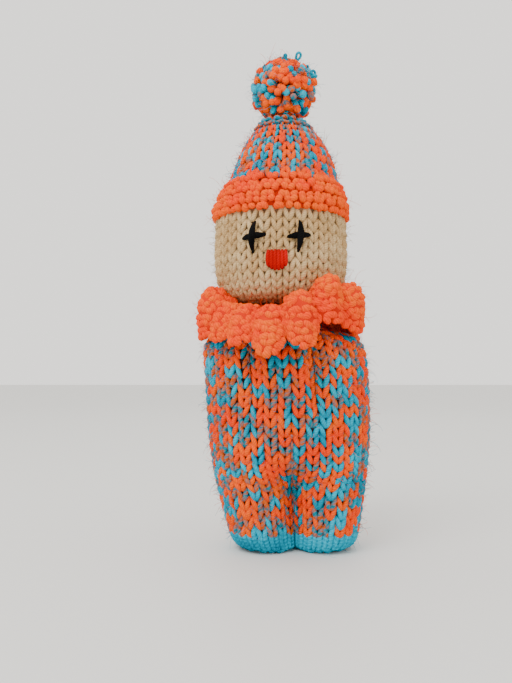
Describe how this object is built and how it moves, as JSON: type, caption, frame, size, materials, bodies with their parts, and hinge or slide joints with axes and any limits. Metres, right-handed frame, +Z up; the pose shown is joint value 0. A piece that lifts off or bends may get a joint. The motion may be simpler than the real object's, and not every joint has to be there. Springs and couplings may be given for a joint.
{
  "type": "hand-knitted stuffed clown doll",
  "caption": "Small hand-knitted, stuffed clown doll with a mottled orange and turquoise body, a frilled orange collar, a cross-stitched face and a pompom hat.",
  "frame": {"origin": "on the ground between the two feet, in the plane of the soles", "axes": "+Z up through the head, the face looks along -Y, the doll's own left side is at +X"},
  "size_m": [0.0659, 0.0626, 0.1869],
  "materials": {
    "variegated_knit": "matte",
    "turquoise_knit": "matte",
    "orange_knit": "matte",
    "beige_knit": "matte",
    "pompom_yarn": "matte",
    "black_yarn": "matte",
    "red_yarn": "matte",
    "fibre_filling": "matte"
  },
  "bodies": {
    "torso": {"foot_band_knit": "turquoise_knit", "body_knit": "variegated_knit", "body_stuffing": "fibre_filling", "body_back_seam": "variegated_knit", "leg_seam_front_thread": "variegated_knit", "leg_seam_back_thread": "variegated_knit", "right_arm_thread": "variegated_knit", "left_arm_thread": "variegated_knit", "collar_frill": "orange_knit", "collar_gathering_thread": "orange_knit"},
    "neck_ring": {"neck_drawstring": "beige_knit"},
    "neck_wad": {"neck_stuffing": "fibre_filling"},
    "head": {"head_knit": "beige_knit", "head_stuffing": "fibre_filling", "head_back_seam": "beige_knit", "right_eye_crossbar": "black_yarn", "right_eye_upright": "black_yarn", "left_eye_crossbar": "black_yarn", "left_eye_upright": "black_yarn", "mouth_stitches": "red_yarn", "hat_brim_knit": "orange_knit", "brim_stuffing": "fibre_filling", "hat_crown_knit": "variegated_knit", "crown_stuffing": "fibre_filling", "hat_back_seam": "variegated_knit", "crown_gathering_thread": "variegated_knit"},
    "knot": {"pompom_knot": "variegated_knit"},
    "pompom": {"pompom_strands": "pompom_yarn"}
  },
  "joints": [
    {"name": "head_turn", "type": "hinge", "parent": "torso", "child": "neck_ring", "pos_m": [-0.002, 0, 0.088], "axis": [0, 0, 1], "range_deg": [-25, 25], "stiffness_Nm_per_rad": 0.03},
    {"name": "head_nod", "type": "hinge", "parent": "neck_ring", "child": "neck_wad", "pos_m": [-0.002, 0, 0.088], "axis": [1, 0, 0], "range_deg": [-12, 12], "stiffness_Nm_per_rad": 0.12},
    {"name": "head_tilt", "type": "hinge", "parent": "neck_wad", "child": "head", "pos_m": [-0.002, 0, 0.088], "axis": [0, 1, 0], "range_deg": [-6, 6], "stiffness_Nm_per_rad": 0.12},
    {"name": "pompom_nod", "type": "hinge", "parent": "head", "child": "knot", "pos_m": [-0.002, 0, 0.1653], "axis": [1, 0, 0], "range_deg": [-15, 15], "stiffness_Nm_per_rad": 0.006},
    {"name": "pompom_tilt", "type": "hinge", "parent": "knot", "child": "pompom", "pos_m": [-0.002, 0, 0.1653], "axis": [0, 1, 0], "range_deg": [-15, 15], "stiffness_Nm_per_rad": 0.006}
  ]
}
